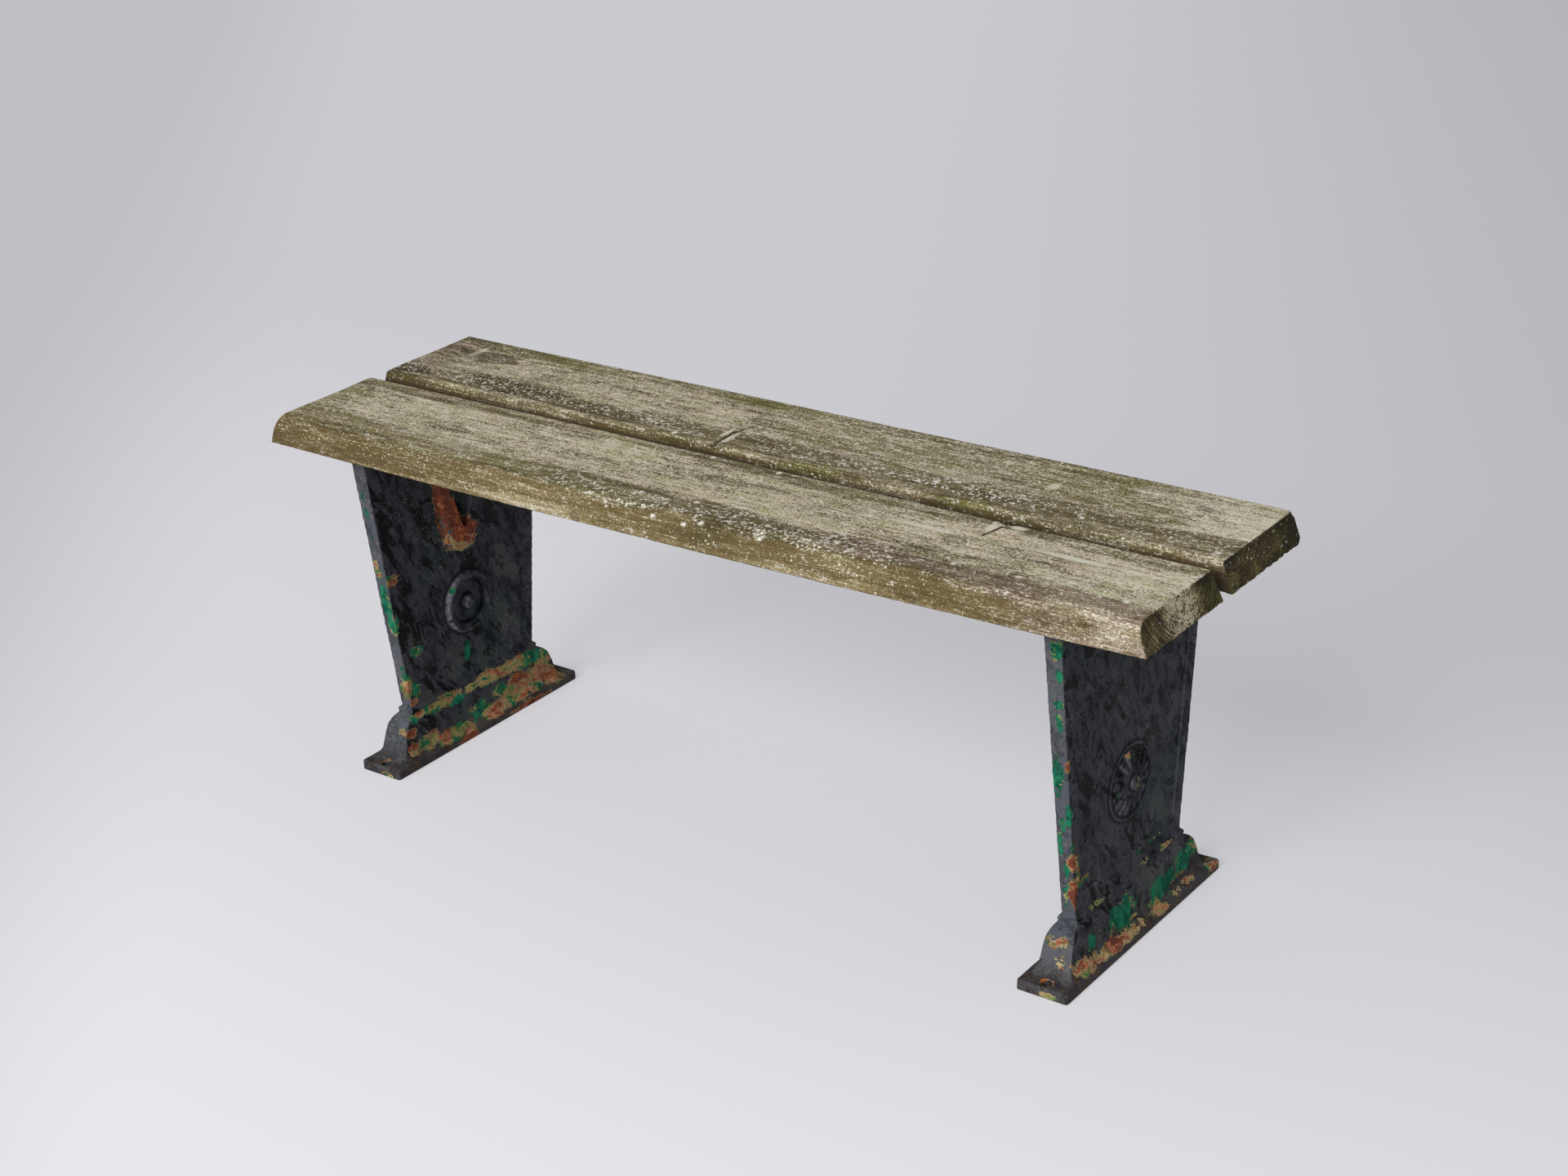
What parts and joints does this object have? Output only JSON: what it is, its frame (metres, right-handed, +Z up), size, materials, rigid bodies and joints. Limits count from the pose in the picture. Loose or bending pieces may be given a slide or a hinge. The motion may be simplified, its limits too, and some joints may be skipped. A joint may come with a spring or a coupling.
{
  "type": "garden bench",
  "caption": "Backless garden bench: thick weathered planks screwed to moulded, tapering cast iron ends with base plates that bolt to the ground.",
  "frame": {"origin": "on the ground, in the middle of the four holes that bolt the bench down", "axes": "+X along the bench towards its right end, -Y towards its front, +Z up"},
  "size_m": [1.137, 0.3598, 0.45],
  "materials": {
    "weathered_wood": "bare, weathered grey-green with lichen",
    "painted_iron": "flaking black paint over green paint, primer and rust",
    "rusty_steel": "rusted"
  },
  "bodies": {
    "root": {"front_plank": "weathered_wood", "rear_plank": "weathered_wood", "left_support": "painted_iron", "right_support": "painted_iron", "coach_screw_left_front_outer": "rusty_steel", "washer_left_front_outer": "rusty_steel", "coach_screw_left_front_inner": "rusty_steel", "washer_left_front_inner": "rusty_steel", "coach_screw_left_rear_inner": "rusty_steel", "washer_left_rear_inner": "rusty_steel", "coach_screw_left_rear_outer": "rusty_steel", "washer_left_rear_outer": "rusty_steel", "coach_screw_right_front_outer": "rusty_steel", "washer_right_front_outer": "rusty_steel", "coach_screw_right_front_inner": "rusty_steel", "washer_right_front_inner": "rusty_steel", "coach_screw_right_rear_inner": "rusty_steel", "washer_right_rear_inner": "rusty_steel", "coach_screw_right_rear_outer": "rusty_steel", "washer_right_rear_outer": "rusty_steel"}
  },
  "joints": []
}
